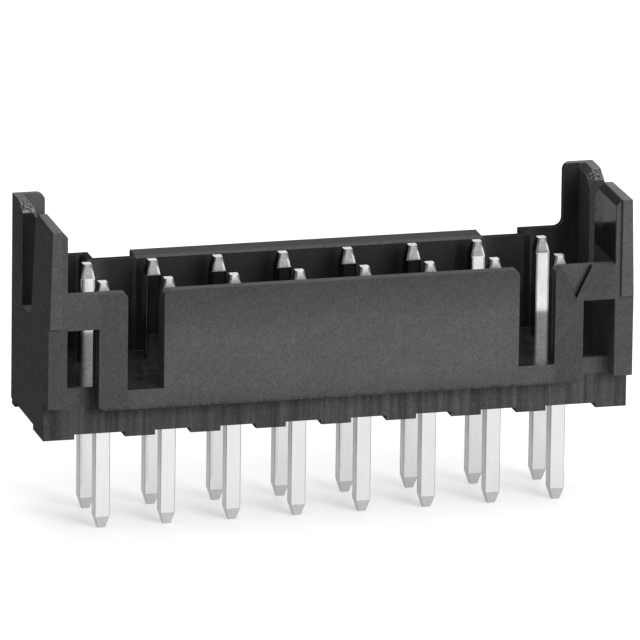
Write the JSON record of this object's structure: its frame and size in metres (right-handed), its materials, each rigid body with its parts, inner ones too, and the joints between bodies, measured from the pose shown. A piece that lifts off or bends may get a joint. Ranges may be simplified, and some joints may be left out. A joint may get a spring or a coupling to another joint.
{
  "type": "shrouded pin header",
  "caption": "Black shrouded board connector with a double row of square through-hole pins, tall polarising end walls and latch windows.",
  "frame": {"origin": "centre of the solder tail pattern, on the board surface that the standoff feet sit on", "axes": "+Z out of the board, the way a plug leaves; +X along the rows, towards the position 1 triangle; -Y is the side with the latch windows"},
  "size_m": [0.0178, 0.0048, 0.0096],
  "materials": {
    "housing": "matte",
    "pin": "tin plated, satin"
  },
  "bodies": {
    "root": {"housing": "housing", "front_pin_1": "pin", "front_pin_2": "pin", "front_pin_3": "pin", "front_pin_4": "pin", "front_pin_5": "pin", "front_pin_6": "pin", "front_pin_7": "pin", "front_pin_8": "pin", "back_pin_1": "pin", "back_pin_2": "pin", "back_pin_3": "pin", "back_pin_4": "pin", "back_pin_5": "pin", "back_pin_6": "pin", "back_pin_7": "pin", "back_pin_8": "pin"}
  },
  "joints": []
}
